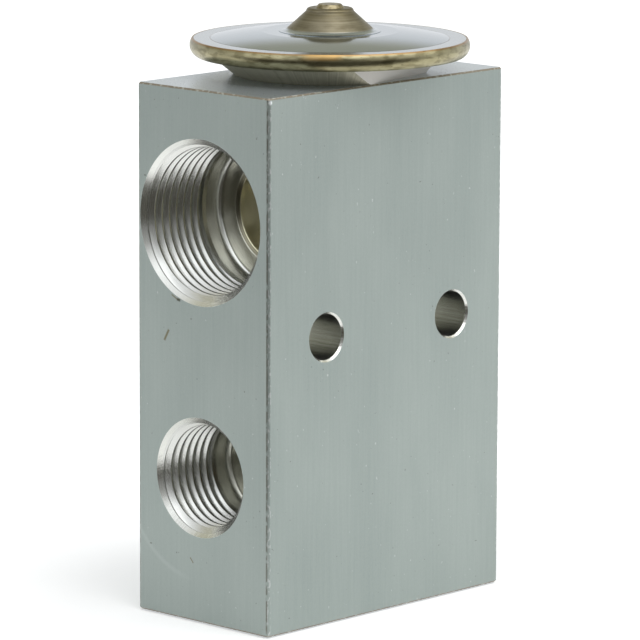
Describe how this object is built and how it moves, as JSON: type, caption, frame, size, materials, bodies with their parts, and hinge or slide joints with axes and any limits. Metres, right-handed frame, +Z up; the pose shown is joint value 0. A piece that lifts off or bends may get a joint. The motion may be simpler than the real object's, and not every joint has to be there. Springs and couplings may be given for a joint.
{
  "type": "thermostatic expansion valve",
  "caption": "Block-type thermostatic expansion valve with a flat round power head, threaded line and evaporator ports, through bolt holes and an adjusting screw.",
  "frame": {"origin": "middle of the block's foot, on the face that it stands on", "axes": "+Z up along the stem, from the adjusting screw to the head; +X along the ports, from the line side to the evaporator side; +Y across the block's thickness"},
  "size_m": [0.0478, 0.0394, 0.0848],
  "materials": {
    "block_aluminium": "satin, milled",
    "housing_steel": "satin, yellow passivated",
    "cover_steel": "satin",
    "boss_steel": "turned",
    "plug_steel": "turned",
    "diaphragm_steel": "bright rolled",
    "pad_brass": "turned",
    "seal_rubber": "matte",
    "rod_aluminium": "turned",
    "retainer_steel": "pressed",
    "pin_steel": "ground",
    "seat_brass": "turned",
    "ball_steel": "polished",
    "spring_steel": "drawn wire",
    "screw_brass": "turned"
  },
  "bodies": {
    "block": {"valve_body": "block_aluminium", "head_lower_housing": "housing_steel", "head_upper_cover": "cover_steel", "fill_boss": "boss_steel", "charge_plug": "plug_steel", "diaphragm": "diaphragm_steel", "head_o_ring": "seal_rubber", "rod_o_ring": "seal_rubber", "rod_seal_retainer": "retainer_steel", "valve_seat": "seat_brass"},
    "stem": {"diaphragm_pad": "pad_brass", "sensing_rod": "rod_aluminium", "push_rod": "pin_steel", "valve_ball": "ball_steel", "ball_carrier": "seat_brass", "anti_vibration_spring": "spring_steel"},
    "spring_carriage": {"superheat_spring": "spring_steel", "adjusting_screw_o_ring": "seal_rubber"},
    "adjuster": {"adjusting_screw": "screw_brass"}
  },
  "joints": [
    {"name": "stem_slide", "type": "slide", "parent": "block", "child": "stem", "axis": [0, 0, -1], "range_m": [0, 0.0008], "stiffness_N_per_m": 1000, "springref_m": -0.003, "deforming": ["superheat_spring"]},
    {"name": "screw_lift", "type": "slide", "parent": "block", "child": "spring_carriage", "axis": [0, 0, 1], "range_m": [-0.001, 0.001], "deforming": ["superheat_spring"]},
    {"name": "screw_turn", "type": "hinge", "parent": "spring_carriage", "child": "adjuster", "pos_m": [0.00155, 0, 0.0015], "axis": [0, 0, 1], "range_deg": [-360, 360]}
  ],
  "couplings": [
    {"joint": "screw_lift", "follows": "screw_turn", "m_per_rad": 0.00015915}
  ]
}
